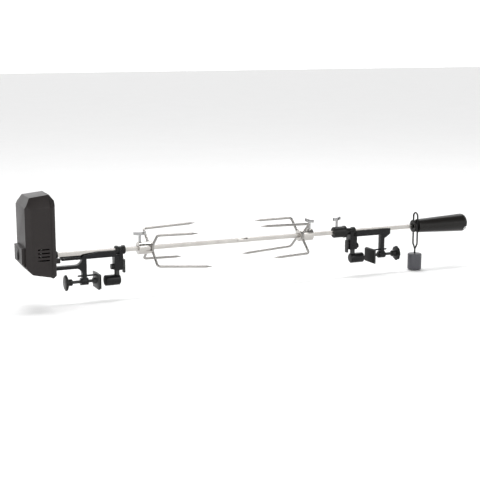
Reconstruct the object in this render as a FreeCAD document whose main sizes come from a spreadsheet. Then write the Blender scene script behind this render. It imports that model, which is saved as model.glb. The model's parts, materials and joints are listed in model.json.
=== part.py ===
import FreeCAD, Part
import math
import os
import Sketcher
from FreeCAD import Placement, Rotation, Vector

# Clamp-on barbecue rotisserie kit: a battery gear motor, two clamp brackets and a square
# two-piece spit with forks, bearing bushes, a balance weight and a handle.
# Frame: origin at the centre of the left fixed jaw's clamping face, +X along the spit towards
# the handle, +Z up. Each bracket is drawn in its own frame, whose origin is its clamping face
# and whose +X runs into the fixed jaw; the right one is turned half round about Z.

DRIVING_SIZES = (
    ("spit_side", 8.0, "side of the square spit bar"),
    ("spit_height", 57.5, "spit axis above the fixed jaws"),
    ("drive_end", -116.4, "spit end in the motor's socket, along X"),
    ("joint_back", 289.1, "end of the motor side section, back from the right jaw face"),
    ("joint_long", 21.5, "gap between the two sections, filled by the joint"),
    ("tang_reach", 179.4, "spit end inside the grip, beyond the right jaw face"),
    ("point_length", 7.0, "taper at the driven end of the spit"),
    ("stud_wall", 0.9, "steel left around the joint stud"),
    ("stud_depth", 14.0, "screwed joint stud inside each section"),
    ("joint_proud", 0.9, "joint ferrule proud of the spit"),
    ("run_gap", 0.06, "radial clearance of a running fit"),
    ("slide_gap", 0.15, "clearance each side of a sliding fit"),
    ("free_gap", 0.4, "clearance between pieces that only pass each other"),
    ("beam_under", 4.0, "underside of a bracket's channel beam below the bearing neck"),
    ("beam_rise", 1.0, "top of a bracket's channel walls above the spit axis"),
    ("beam_floor_thick", 3.5, "channel floor"),
    ("beam_wall", 3.0, "channel wall"),
    ("beam_spread", 2.5, "channel's half width outside the bearing neck"),
    ("left_post", 39.8, "left screw post behind the clamping face"),
    ("right_post", 45.0, "right screw post behind the clamping face"),
    ("tongue_gap", 2.0, "left channel floor's end from the motor's catch"),
    ("left_opening", 11.0, "left clamp opening"),
    ("right_opening", 14.4, "right clamp opening"),
    ("beam_tail", 11.5, "right beam beyond its post"),
    ("post_wide", 8.6, "screw post along X"),
    ("post_deep", 11.0, "screw post along Y"),
    ("boss_radius", 7.0, "threaded boss of the clamp screw"),
    ("boss_long", 15.0, "threaded boss along X"),
    ("screw_radius", 3.0, "clamp screw"),
    ("left_reach", 45.4, "left clamp screw from the plate to the knob"),
    ("right_reach", 49.0, "right clamp screw from the plate to the knob"),
    ("arm_drop", 29.0, "underside of the motor arm below the spit"),
    ("arm_thick", 6.5, "motor arm height"),
    ("arm_half", 6.0, "half the motor arm's width"),
    ("arm_round", 12.0, "hollow rounds where the arm meets the post"),
    ("upright_x", 25.0, "jaw rod axis behind the clamping face"),
    ("upright_wide", 16.5, "clamp body along X"),
    ("body_ahead", 1.8, "clamp body's middle behind the jaw rod axis"),
    ("upright_half", 8.0, "half the clamp body's depth"),
    ("saddle_ahead", 2.9, "bearing saddle behind the jaw rod axis"),
    ("upright_drop", 38.0, "underside of the clamp body below the spit"),
    ("saddle_wide", 7.4, "bearing saddle along X"),
    ("saddle_drop", 20.0, "foot of the bearing saddle below the spit"),
    ("rod_radius", 5.0, "jaw rod"),
    ("rod_drop", 18.0, "top of the jaw rod below the spit"),
    ("rod_play", 4.0, "free bore above the jaw rod"),
    ("anvil_radius", 10.5, "fixed jaw"),
    ("anvil_long", 31.0, "fixed jaw length"),
    ("anvil_edge", 2.2, "chamfer on the fixed jaw's ends"),
    ("anvil_skin", 2.0, "rubber cap on the fixed jaw's face"),
    ("lock_drop", 31.5, "lock screw axis below the spit"),
    ("lock_stem", 2.8, "lock screw stem radius"),
    ("lock_hub", 4.5, "lock screw hub radius"),
    ("lock_boss", 5.5, "round boss facing the lock screw"),
    ("lock_boss_long", 5.5, "length of that boss"),
    ("wing_long", 26.0, "lock wing length"),
    ("wing_thick", 4.0, "lock wing thickness"),
    ("wing_half", 4.0, "half the lock wing's width"),
    ("wing_off", 1.6, "lock wing from the clamp body"),
    ("plate_half_wide", 19.0, "half the clamp plate's width"),
    ("plate_half_tall", 15.0, "half the clamp plate's height"),
    ("plate_thick", 3.5, "clamp plate thickness"),
    ("pad_thick", 3.0, "clamp pad thickness"),
    ("pad_margin", 1.5, "plate edge left bare around the pad"),
    ("hub_radius", 6.0, "swivel cup on the clamp plate"),
    ("hub_long", 5.5, "length of the swivel cup"),
    ("pin_radius", 1.75, "guide pin"),
    ("pin_height", 11.0, "guide pin above the clamp screw"),
    ("pin_tail", 8.0, "guide pin behind the post"),
    ("knob_radius", 15.4, "clamp knob"),
    ("knob_thick", 5.5, "clamp knob rim"),
    ("knob_hub", 6.6, "clamp knob hub radius"),
    ("knob_hub_long", 9.5, "clamp knob hub length"),
    ("knob_scoop", 4.2, "radius of the finger hollows in the knob"),
    ("screw_rise", 2.0, "clamp screw above the fixed jaw axis"),
    ("neck_wall", 1.1, "bearing neck wall over the corners of its bore"),
    ("flange_proud", 1.6, "bearing flange proud of its neck"),
    ("flange_thick", 5.5, "bearing flange along X"),
    ("right_face", 565.2, "right fixed jaw's clamping face, along X"),
    ("bush_proud", 4.5, "right bush collar proud of its neck"),
    ("rim_proud", 1.1, "rim of the right bush collar"),
    ("bush_rim_long", 5.0, "rim length"),
    ("bush_neck_long", 16.5, "right bush neck between flange and collar"),
    ("bush_long", 28.0, "right bush collar length"),
    ("fork_left", 67.6, "outer end of the left fork collar"),
    ("fork_back", 122.6, "outer end of the right fork collar, back from the right jaw face"),
    ("collar_wall", 6.3, "fork collar wall over the corners of its bore"),
    ("collar_long", 29.5, "fork collar length"),
    ("collar_screw", 4.5, "thumb screw from the collar's outer end"),
    ("prong_radius", 2.5, "fork wire"),
    ("prong_half_y", 41.5, "fork prongs, half their spacing across"),
    ("prong_half_z", 30.0, "fork prongs, half their spacing in height"),
    ("prong_long", 110.5, "long fork prongs"),
    ("prong_short", 81.5, "short fork prongs"),
    ("prong_bend", 6.0, "bend radius of the fork wire"),
    ("prong_tip", 13.0, "taper of a prong's point"),
    ("prong_splay", 3.0, "outward splay of the prongs in degrees"),
    ("prong_droop", 2.6, "droop of one wire of each fork in degrees"),
    ("weld_half", 7.0, "half the height of the wire welded to the collar"),
    ("weld_bite", 0.4, "wire sunk in the collar"),
    ("thumb_stem", 2.6, "thumb screw stem radius"),
    ("thumb_rise", 13.0, "thumb screw stem above its collar"),
    ("thumb_wing_long", 25.0, "thumb screw wing length"),
    ("thumb_wing_tall", 7.0, "thumb screw wing height"),
    ("thumb_wing_thick", 3.2, "thumb screw wing thickness"),
    ("ferrule_reach", 121.4, "clamping ferrule beyond the right jaw face"),
    ("ferrule_thick", 4.5, "ferrule thickness"),
    ("ferrule_wall", 7.8, "ferrule wall around its bore"),
    ("wire_back", 7.3, "balance loop plane behind the ferrule face"),
    ("wire_radius", 1.75, "balance loop wire"),
    ("wire_clear", 2.3, "clearance of the loop's wire centre from the spit's corners"),
    ("wire_arc_height", 20.5, "loop arc centre above the spit"),
    ("wire_knee_drop", 38.5, "loop knees below the spit"),
    ("wire_merge_drop", 50.0, "where the loop's legs meet, below the spit"),
    ("weight_drop", 60.0, "top of the balance weight below the spit"),
    ("weight_radius", 15.0, "balance weight radius"),
    ("weight_tall", 34.0, "balance weight height"),
    ("grip_back_off", 10.5, "front of the grip behind the ferrule face"),
    ("grip_length", 124.0, "grip length"),
    ("grip_front", 14.3, "grip radius at the front"),
    ("grip_back", 19.2, "grip radius at the back"),
    ("dome_long", 12.5, "length of the grip's rounded end"),
    ("hang_radius", 3.5, "hang hole radius"),
    ("hang_inset", 9.5, "hang hole from the grip's end"),
    ("hang_tilt", 35.0, "turn of the hang hole about the grip in degrees"),
    ("eyelet_wall", 1.1, "steel eyelet of the hang hole"),
    ("case_reach", 40.5, "outer face of the motor case beyond the spit's end"),
    ("case_over", 14.5, "bracket side of the motor case from the spit's end"),
    ("split_over", 7.0, "joint between case cover and base from the spit's end"),
    ("case_half", 41.5, "half the motor case's depth"),
    ("case_drop", 36.0, "lowest point of the motor case below the spit"),
    ("case_rise", 118.0, "highest point of the motor case above the spit"),
    ("case_wall", 3.0, "motor case wall"),
    ("base_proud", 1.0, "case base proud of the cover"),
    ("facet_x", 10.0, "upright case facets along X"),
    ("facet_y", 6.0, "upright case facets along Y"),
    ("crown_side", 15.0, "slope of the case's crown along Y"),
    ("crown_drop", 23.0, "height of the crown's long slopes"),
    ("brow_x", 10.5, "slope above the outer face along X"),
    ("brow_drop", 22.0, "height of that slope"),
    ("brow_rise", 4.0, "fall of the crown towards the outer face"),
    ("chin_x", 10.0, "lower slope of the outer face along X"),
    ("chin_low", 10.0, "foot of that slope"),
    ("chin_high", 22.0, "top of that slope"),
    ("skirt_y", 7.0, "bevel under the long sides along Y"),
    ("skirt_z", 8.0, "bevel under the long sides in height"),
    ("back_x", 4.0, "bevel on the bracket side along X"),
    ("back_y", 3.0, "bevel on the bracket side along Y"),
    ("shoulder_x", 8.0, "slope at the top of the bracket side along X"),
    ("shoulder_z", 11.4, "height of that slope"),
    ("heel_x", 5.0, "bevel at the foot of the bracket side along X"),
    ("heel_z", 6.0, "height of that bevel"),
    ("vent_low", -1.0, "lowest vent slot above the spit"),
    ("vent_step", 6.8, "spacing of the vent slots"),
    ("vent_half", 1.25, "half the height of a vent slot"),
    ("vent_start", 19.5, "vent slots' outer end from the spit's end"),
    ("vent_end", 2.0, "vent slots' bracket end beyond the spit's end"),
    ("panel_proud", 6.5, "switch panel above the outer face"),
    ("panel_drop", 9.0, "switch panel's lower edge below the spit"),
    ("panel_rise", 23.0, "switch panel's upper edge above the spit"),
    ("panel_half", 30.0, "half the switch panel's width"),
    ("rocker_y", 3.0, "switch rocker's middle, along Y"),
    ("rocker_rise", 7.0, "switch rocker's middle above the spit"),
    ("rocker_half_y", 6.2, "half the rocker's width"),
    ("rocker_half_z", 10.0, "half the rocker's height"),
    ("rocker_tilt", 6.0, "rocker tilt each way in degrees"),
    ("lug_reach", 16.0, "catch under the socket, out of the case"),
    ("lug_tall", 8.4, "height of the catch"),
    ("lug_gap", 0.5, "catch below the socket hub"),
    ("hub_wall", 1.0, "wall of the output gear's socket over its corners"),
    ("hub_over", 26.0, "mouth of the socket from the spit's end"),
    ("hub_past", 1.4, "closed end of the socket beyond the spit's end"),
    ("gear_module", 0.8, "tooth size of the gear train"),
    ("gear_face", 4.0, "gear face width"),
    ("gear_step", 6.0, "spacing of the gear layers"),
    ("axle_radius", 1.5, "gear axles"),
    ("motor_radius", 10.0, "drive motor can"),
    ("motor_length", 21.0, "drive motor length"),
    ("plate_gear", 1.6, "gearbox plate thickness"),
    ("cell_radius", 16.8, "battery cell radius"),
    ("cell_length", 61.0, "battery cell length"),
    ("cell_past", 15.0, "battery cell axis beyond the spit's end"),
    ("cell_rise", 43.2, "lower battery cell axis above the spit"),
    ("cell_pitch", 35.0, "spacing of the two cells"),
    ("door_rise", 24.5, "battery door's lower edge above the spit"),
    ("door_tall", 70.0, "battery door's height"),
    ("door_half", 18.2, "half the battery door's width"),
    ("door_thick", 2.5, "battery door thickness"),
)


class Size:
    """A length that knows its number and the spreadsheet expression it comes from."""

    def __init__(self, value, text):
        self.value = float(value)
        self.text = text

    def _join(self, other, sign, result):
        return Size(result, "(%s %s %s)" % (self.text, sign, as_size(other).text))

    def __add__(self, other):
        return self._join(other, "+", self.value + float(other))

    def __sub__(self, other):
        return self._join(other, "-", self.value - float(other))

    def __mul__(self, other):
        return self._join(other, "*", self.value * float(other))

    def __truediv__(self, other):
        return self._join(other, "/", self.value / float(other))

    def __radd__(self, other):
        return as_size(other) + self

    def __rsub__(self, other):
        return as_size(other) - self

    def __rmul__(self, other):
        return as_size(other) * self

    def __neg__(self):
        return Size(-self.value, "(0 - %s)" % self.text)

    def __float__(self):
        return self.value


def as_size(amount):
    """Plain numbers become sizes, so that both can be joined."""
    return amount if isinstance(amount, Size) else Size(amount, "(%s)" % repr(float(amount)))


doc = FreeCAD.newDocument("spit_kit")
sheet = doc.addObject("Spreadsheet::Sheet", "Sizes")
s = {}
for row, (alias, number, meaning) in enumerate(DRIVING_SIZES, 1):
    sheet.set("A%d" % row, meaning)
    sheet.set("B%d" % row, str(number))
    sheet.setAlias("B%d" % row, alias)
    s[alias] = Size(number, "Sizes." + alias)
doc.recompute()

nodes = []


# ---------------------------------------------------------------- drawing helpers

def bind(obj, prop, amount):
    """Drive one property of an object by a size."""
    obj.setExpression(prop, as_size(amount).text)


def place(obj, at=(0, 0, 0), turn=None):
    """Put an object at a bound point, turned by an optional rotation."""
    if turn is not None:
        obj.Placement = Placement(Vector(*[float(a) for a in at]), turn)
    for letter, amount in zip("xyz", at):
        bind(obj, "Placement.Base." + letter, amount)
    return obj


def box(name, low, high):
    """Block between two bound corners."""
    obj = doc.addObject("Part::Box", name)
    for prop, a, b in zip(("Length", "Width", "Height"), low, high):
        bind(obj, prop, as_size(b) - a)
    return place(obj, low)


AXIS_TURN = {
    "x": Rotation(Vector(0, 1, 0), 90),
    "y": Rotation(Vector(1, 0, 0), -90),
    "z": Rotation(),
}


def rod(name, radius, start, length, along):
    """Round bar from a point along one axis."""
    obj = doc.addObject("Part::Cylinder", name)
    bind(obj, "Radius", radius)
    bind(obj, "Height", length)
    return place(obj, start, AXIS_TURN[along])


def fuse(name, *shapes):
    """Join several objects into one."""
    obj = doc.addObject("Part::MultiFuse", name)
    obj.Shapes = list(shapes)
    obj.Refine = True
    return obj


def common(name, *shapes):
    """What several objects share."""
    obj = doc.addObject("Part::MultiCommon", name)
    obj.Shapes = list(shapes)
    return obj


def cut(name, base, *tools):
    """Take tools away from a base."""
    obj = doc.addObject("Part::Cut", name)
    obj.Base = base
    obj.Tool = tools[0] if len(tools) == 1 else fuse(name + "_tools", *tools)
    obj.Refine = True
    return obj


def group(name, *shapes):
    """Several separate solids under one name."""
    obj = doc.addObject("Part::Compound", name)
    obj.Links = list(shapes)
    return obj


def own_shape(name, shape):
    """A piece drawn with Part's own functions."""
    obj = doc.addObject("Part::Feature", name)
    obj.Shape = shape
    return obj


def node(label, obj):
    """Register an object as a finished sub-part."""
    obj.Label = label
    nodes.append(obj)
    return obj


def outline(body, plane, corners, offset=None):
    """Closed sketch on one of the body's origin planes, every corner bound to sizes."""
    sketch = body.newObject("Sketcher::SketchObject", body.Name + "_outline")
    role = plane + "_Plane"
    base = [f for f in body.Origin.OriginFeatures if f.Role == role][0]
    sketch.AttachmentSupport = [(base, "")]
    sketch.MapMode = "FlatFace"
    if offset is not None:
        bind(sketch, "AttachmentOffset.Base.z", offset)
    flat = [Vector(float(u), float(v), 0) for u, v in corners]
    count = len(flat)
    for i in range(count):
        sketch.addGeometry(Part.LineSegment(flat[i], flat[(i + 1) % count]), False)
    for i in range(count):
        sketch.addConstraint(Sketcher.Constraint("Coincident", i, 2, (i + 1) % count, 1))
    for i, (u, v) in enumerate(corners):
        for kind, amount in (("DistanceX", u), ("DistanceY", v)):
            if abs(float(amount)) < 1e-9:
                on_axis = -2 if kind == "DistanceX" else -1
                sketch.addConstraint(Sketcher.Constraint("PointOnObject", i, 1, on_axis))
                continue
            made = sketch.addConstraint(
                Sketcher.Constraint(kind, -1, 1, i, 1, float(amount)))
            bind(sketch, "Constraints[%d]" % made, amount)
    return sketch


def new_body(name):
    """Empty body."""
    return doc.addObject("PartDesign::Body", name)


def slab(name, plane, corners, middle, thick):
    """Outline extruded evenly to both sides of a plane set off from the origin."""
    body = new_body(name)
    pad = body.newObject("PartDesign::Pad", name + "_pad")
    pad.Profile = outline(body, plane, corners, middle)
    pad.SideType = "Symmetric"
    bind(pad, "Length", thick)
    return body


def turned(name, corners, at):
    """Profile of (x, radius) corners spun about the X axis through a point."""
    body = new_body(name)
    spin = body.newObject("PartDesign::Revolution", name + "_spin")
    sketch = outline(body, "XZ", corners)
    spin.Profile = sketch
    spin.ReferenceAxis = (sketch, ["H_Axis"])
    spin.Angle = 360
    return place(body, at)


def square_bar(name, half, x_start, x_end):
    """Square bar along the spit axis."""
    return box(name, (x_start, -half, s["spit_height"] - half),
               (x_end, half, s["spit_height"] + half))


# ---------------------------------------------------------------- spit

axis_z = s["spit_height"]
spit_half = s["spit_side"] / 2
bore_half = spit_half + s["slide_gap"]
spit_reach = spit_half * math.sqrt(2.0)
bore_reach = bore_half * math.sqrt(2.0)
neck = bore_reach + s["neck_wall"]
rim = neck + s["flange_proud"]
drive_end, right_face = s["drive_end"], s["right_face"]
joint_start = right_face - s["joint_back"]
joint_end = joint_start + s["joint_long"]
tang_end = right_face + s["tang_reach"]
stud_radius = spit_half - s["stud_wall"]
inner = drive_end + s["case_over"]
POINT_SHARE = 0.62


def spit_section(name, x_start, x_end, stud_at_end):
    """One square section with a blind hole for the joint stud."""
    bar = square_bar(name + "_bar", spit_half, x_start, x_end)
    if stud_at_end:
        hole_start = x_end - s["stud_depth"]
    else:
        hole_start = x_start
    hole = rod(name + "_hole", stud_radius, (hole_start, 0, axis_z), s["stud_depth"], "x")
    return cut(name, bar, hole)


front = spit_section("front_section", drive_end, joint_start, True)
taper = doc.addObject("Part::Cone", "drive_taper")
bind(taper, "Radius1", spit_reach * POINT_SHARE)
bind(taper, "Radius2", spit_reach)
bind(taper, "Height", s["point_length"])
place(taper, (drive_end, 0, axis_z), AXIS_TURN["x"])
keep = square_bar("drive_keep", spit_half, drive_end + s["point_length"], joint_start)
node("spit_front_section", common("front_pointed", front, fuse("front_keep", taper, keep)))
node("spit_rear_section",
     spit_section("rear_section", joint_end, tang_end, False))
stud_start = joint_start - s["stud_depth"]
stud_length = joint_end - joint_start + s["stud_depth"] * 2
stud = rod("stud_core", stud_radius, (stud_start, 0, axis_z), stud_length, "x")
stud_ring = rod("stud_ring", spit_half + s["joint_proud"], (joint_start, 0, axis_z),
                joint_end - joint_start, "x")
node("spit_joint_stud", fuse("stud", stud, stud_ring))


# ---------------------------------------------------------------- clamp brackets

def seat(obj, side):
    """Move a bracket piece from the bracket's own frame into place."""
    seated = group(obj.Name + "_seated", obj)
    if side == "right":
        return place(seated, (right_face, 0, 0), Rotation(Vector(0, 0, 1), 180))
    return place(seated)


gap = s["free_gap"]
saddle_start = s["upright_x"] + s["saddle_ahead"]
saddle_end = saddle_start + s["saddle_wide"]
upright_start = s["upright_x"] + s["body_ahead"] - s["upright_wide"] / 2
upright_end = upright_start + s["upright_wide"]
upright_low = axis_z - s["upright_drop"]
flange_a = saddle_start - gap - s["flange_thick"]
flange_b = saddle_end + gap + s["flange_thick"]
beam_floor = axis_z - neck - s["beam_under"]
beam_half = neck + s["beam_spread"]
arm_low = axis_z - s["arm_drop"]
lock_height = axis_z - s["lock_drop"]
rod_top = axis_z - s["rod_drop"]
screw_z = s["screw_rise"]
pin_z = screw_z + s["pin_height"]
WEDGE_LONG, WEDGE_DROP = 30.0, 6.0
LAP = 1.0
GUSSET_SHARE, GUSSET_LIP = 0.8, 2.0


def bracket_frame(side):
    """Casting: channel beam, screw post with boss, clamp body with bearing saddle."""
    n = side + "_frame_"
    post = s[side + "_post"]
    post_low = -post - s["post_wide"] / 2
    post_high = -post + s["post_wide"] / 2
    wall_start = post_low if side == "left" else post_low - s["beam_tail"]
    floor_start = inner + s["lug_reach"] + s["tongue_gap"] if side == "left" else wall_start
    floor_top = beam_floor + s["beam_floor_thick"]
    wall_end = flange_a - gap
    wall_top = axis_z + s["beam_rise"]
    half = beam_half
    solids = [
        box(n + "floor", (floor_start, -half, beam_floor),
            (upright_start + LAP, half, floor_top)),
        box(n + "post", (post_low, -s["post_deep"] / 2, screw_z),
            (post_high, s["post_deep"] / 2, beam_floor + LAP)),
        rod(n + "boss", s["boss_radius"], (-post - s["boss_long"] / 2, 0, screw_z),
            s["boss_long"], "x"),
        box(n + "upright", (upright_start, -s["upright_half"], upright_low),
            (upright_end, s["upright_half"], axis_z - rim - gap * 2)),
        box(n + "saddle", (saddle_start, -half, axis_z - s["saddle_drop"]),
            (saddle_end, half, axis_z)),
        rod(n + "lock_boss", s["lock_boss"],
            (upright_start - s["lock_boss_long"], 0, lock_height),
            s["lock_boss_long"] + LAP, "x"),
        box(n + "far_wall", (wall_start, half - s["beam_wall"], beam_floor),
            (wall_end, half, wall_top)),
    ]
    wedge = WEDGE_DROP if side == "left" else 0.0
    solids.append(slab(n + "near_wall", "XZ",
                       ((wall_start, beam_floor), (wall_end, beam_floor), (wall_end, wall_top),
                        (wall_start + WEDGE_LONG, wall_top), (wall_start, wall_top - wedge)),
                       half - s["beam_wall"] / 2, s["beam_wall"]))
    if side == "left":
        round_side = s["arm_round"]
        arm_top = arm_low + s["arm_thick"]
        solids.append(box(n + "arm", (drive_end, -s["arm_half"], arm_low),
                          (post_high, s["arm_half"], arm_top)))
        solids.append(box(n + "tongue_lip", (floor_start, half - s["beam_wall"],
                                             beam_floor),
                          (wall_start + LAP, half, floor_top + s["beam_wall"])))
        web = box(n + "web", (post_low - round_side, -s["arm_half"], arm_low - round_side),
                  (post_low + LAP, s["arm_half"], arm_top + round_side))
        hollow_low = rod(n + "hollow_low", round_side,
                         (post_low - round_side, -s["post_deep"], arm_low - round_side),
                         s["post_deep"] * 2, "y")
        hollow_top = rod(n + "hollow_top", round_side,
                         (post_low - round_side, -s["post_deep"], arm_top + round_side),
                         s["post_deep"] * 2, "y")
        solids.append(cut(n + "web_cut", web, hollow_low, hollow_top))
    else:
        drop = s["beam_tail"] * GUSSET_SHARE
        solids.append(slab(n + "gusset", "XZ",
                           ((wall_start, beam_floor + LAP),
                            (wall_start, beam_floor - GUSSET_LIP),
                            (post_low, beam_floor - drop),
                            (post_low + LAP, beam_floor - drop),
                            (post_low + LAP, beam_floor + LAP)),
                           0, s["post_deep"]))
    holes = [
        rod(n + "screw_hole", s["screw_radius"] + s["run_gap"],
            (-post - s["boss_long"], 0, screw_z), s["boss_long"] * 2, "x"),
        rod(n + "pin_hole", s["pin_radius"] + s["run_gap"],
            (post_low - LAP, 0, pin_z), s["post_wide"] + LAP * 2, "x"),
        rod(n + "rod_hole", s["rod_radius"] + s["run_gap"],
            (s["upright_x"], 0, upright_low - LAP),
            rod_top + s["rod_play"] - upright_low + LAP, "z"),
        rod(n + "lock_hole", s["lock_stem"] + s["run_gap"],
            (s["upright_x"], 0, lock_height), s["upright_wide"], "x"),
        rod(n + "saddle_hole", neck + s["run_gap"],
            (saddle_start - LAP, 0, axis_z), s["saddle_wide"] + LAP * 2, "x"),
    ]
    return seat(cut(n + "casting", fuse(n + "solid", *solids), *holes), side)


KNOB_LOBES = 8
RIM_EDGE, HUB_EDGE, SCOOP_SINK = 0.28, 1.2, 0.45


def lobed_knob(name, x_rim):
    """Star knob: round rim with finger hollows, and a stepped hub towards the bracket."""
    rim_r = s["knob_radius"]
    edge = s["knob_thick"] * RIM_EDGE
    rim_end = x_rim + s["knob_thick"]
    hub_end = rim_end + s["knob_hub_long"]
    blank = turned(name + "_blank",
                   ((x_rim, 0), (x_rim, rim_r - edge * 2), (x_rim + edge, rim_r),
                    (rim_end - edge, rim_r), (rim_end, rim_r - edge * 2),
                    (rim_end, s["knob_hub"]), (hub_end - HUB_EDGE, s["knob_hub"]),
                    (hub_end, s["knob_hub"] - HUB_EDGE), (hub_end, 0)), (0, 0, screw_z))
    reach = rim_r + s["knob_scoop"] * SCOOP_SINK
    scoops = []
    for i in range(KNOB_LOBES):
        angle = 2 * math.pi * (i + 0.5) / KNOB_LOBES
        scoops.append(rod("%s_scoop_%d" % (name, i), s["knob_scoop"],
                          (x_rim - LAP, reach * math.cos(angle),
                           screw_z + reach * math.sin(angle)),
                          s["knob_thick"] + LAP * 2, "x"))
    return cut(name + "_star", blank, *scoops)


def clamp_parts(side):
    """Moving jaw, its screw and knob, and the fixed jaw with its lock wing."""
    n = side + "_"
    opening = s[side + "_opening"]
    post_low = -s[side + "_post"] - s["post_wide"] / 2
    pad_face = -opening
    plate_face = pad_face - s["pad_thick"]
    plate_back = plate_face - s["plate_thick"]
    cup_back = plate_back - s["hub_long"]
    knob_end = plate_back - s[side + "_reach"]
    wide, tall = s["plate_half_wide"], s["plate_half_tall"]

    plate = fuse(n + "plate_solid",
                 box(n + "plate_flat", (plate_back, -wide, screw_z - tall),
                     (plate_face, wide, screw_z + tall)),
                 rod(n + "plate_cup", s["hub_radius"], (cup_back, 0, screw_z),
                     s["hub_long"], "x"))
    socket = rod(n + "cup_bore", s["screw_radius"] + s["run_gap"], (cup_back - LAP, 0, screw_z),
                 s["hub_long"] + LAP, "x")
    node(n + "clamp_plate", seat(cut(n + "plate_cut", plate, socket), side))
    margin = s["pad_margin"]
    node(n + "clamp_pad",
         seat(box(n + "pad", (plate_face, -(wide - margin), screw_z - (tall - margin)),
                  (pad_face, wide - margin, screw_z + tall - margin)), side))
    pin_start = post_low - s["pin_tail"]
    node(n + "guide_pin",
         seat(rod(n + "pin", s["pin_radius"], (pin_start, 0, pin_z),
                  plate_back - pin_start, "x"), side))
    screw_tip = plate_back - s["free_gap"]
    knob_core = knob_end - s["knob_hub_long"]
    node(n + "clamp_screw",
         seat(rod(n + "screw", s["screw_radius"], (knob_core, 0, screw_z), screw_tip - knob_core,
                  "x"), side))
    x_rim = knob_end - s["knob_hub_long"] - s["knob_thick"]
    core = rod(n + "knob_core", s["screw_radius"], (knob_core, 0, screw_z),
               s["knob_hub_long"] + LAP, "x")
    node(n + "clamp_knob", seat(cut(n + "knob", lobed_knob(n + "knob", x_rim), core), side))

    skin, edge, r = s["anvil_skin"], s["anvil_edge"], s["anvil_radius"]
    anvil = turned(n + "anvil_blank",
                   ((skin, 0), (skin, r), (s["anvil_long"] - edge, r),
                    (s["anvil_long"], r - edge), (s["anvil_long"], 0)), (0, 0, 0))
    seat_hole = rod(n + "anvil_seat", s["rod_radius"], (s["upright_x"], 0, 0), r + LAP, "z")
    node(n + "anvil", seat(cut(n + "anvil_cut", anvil, seat_hole), side))
    cap = turned(n + "cap_blank", ((0, 0), (0, r - edge), (skin, r), (skin, 0)), (0, 0, 0))
    node(n + "anvil_cap", seat(cap, side))
    node(n + "jaw_rod", seat(rod(n + "rod", s["rod_radius"], (s["upright_x"], 0, 0),
                                 rod_top, "z"), side))

    tip = s["upright_x"] + s["rod_radius"] + s["free_gap"]
    hub_start = upright_end + s["free_gap"]
    wing_start = hub_start + s["wing_off"]
    stem = rod(n + "lock_stem", s["lock_stem"], (tip, 0, lock_height),
               wing_start - tip, "x")
    hub = rod(n + "lock_hub", s["lock_hub"], (hub_start, 0, lock_height),
              s["wing_thick"] + s["wing_off"], "x")
    wing = box(n + "lock_bar", (wing_start, -s["wing_half"], lock_height - s["wing_long"] / 2),
               (wing_start + s["wing_thick"], s["wing_half"],
                lock_height + s["wing_long"] / 2))
    node(n + "lock_wing", seat(fuse(n + "lock", stem, hub, wing), side))


for side in ("left", "right"):
    node(side + "_bracket_frame", bracket_frame(side))
    clamp_parts(side)


# ---------------------------------------------------------------- bearing bushes

def square_bore(name, x_start, x_end):
    """Square hole for the spit."""
    return square_bar(name, bore_half, x_start, x_end)


spool = turned("left_spool", ((flange_a, 0), (flange_a, rim), (saddle_start - gap, rim),
                              (saddle_start - gap, neck), (saddle_end + gap, neck),
                              (saddle_end + gap, rim), (flange_b, rim), (flange_b, 0)),
               (0, 0, axis_z))
node("left_bush", cut("left_bush_cut", spool,
                      square_bore("left_bush_bore", flange_a - LAP, flange_b + LAP)))

right_flange = right_face - flange_a
right_neck = right_face - saddle_start + gap
bush_radius = neck + s["bush_proud"]
bush_rim = bush_radius + s["rim_proud"]
collar_face = right_neck - s["bush_neck_long"]
collar_end = collar_face - s["bush_long"]
rim_start = collar_face - s["bush_rim_long"]
EDGE, SCREW_IN = 1.5, 4.0
bush = turned("right_spool",
              ((collar_end, 0), (collar_end, bush_radius - EDGE),
               (collar_end + EDGE, bush_radius), (rim_start, bush_radius),
               (rim_start + s["rim_proud"], bush_rim), (collar_face, bush_rim),
               (collar_face, neck), (right_neck, neck), (right_neck, rim),
               (right_flange, rim), (right_flange, 0)), (0, 0, axis_z))
bush_screw_x = collar_end + s["collar_screw"] + SCREW_IN
thread_hole = rod("right_bush_thread", s["thumb_stem"] + s["run_gap"],
                  (bush_screw_x, 0, axis_z), bush_rim, "z")
node("right_bush", cut("right_bush_cut", bush, thread_hole,
                       square_bore("right_bush_bore", collar_end - LAP, right_flange + LAP)))


# ---------------------------------------------------------------- thumb screws and forks

WING_LIFT = 0.15
TIP_SHARE = 0.12


def thumb_screw(name, x, collar_r, turn_deg):
    """Wing screw standing on a collar, its tip just clear of the spit."""
    tip = axis_z + spit_half + s["free_gap"]
    wing_low = axis_z + collar_r + s["thumb_rise"]
    stem = rod(name + "_stem", s["thumb_stem"], (x, 0, tip), wing_low - tip + LAP, "z")
    half, tall = s["thumb_wing_long"] / 2, s["thumb_wing_tall"]
    lift = tall * WING_LIFT
    wing = slab(name + "_wing", "XZ",
                ((-half, lift), (-s["thumb_stem"], 0), (s["thumb_stem"], 0), (half, lift),
                 (half, tall), (s["thumb_stem"], tall - lift), (-s["thumb_stem"], tall - lift),
                 (-half, tall)), 0, s["thumb_wing_thick"])
    place(wing, (x, 0, wing_low), Rotation(Vector(0, 0, 1), turn_deg))
    return node(name, fuse(name + "_whole", stem, wing))


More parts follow.
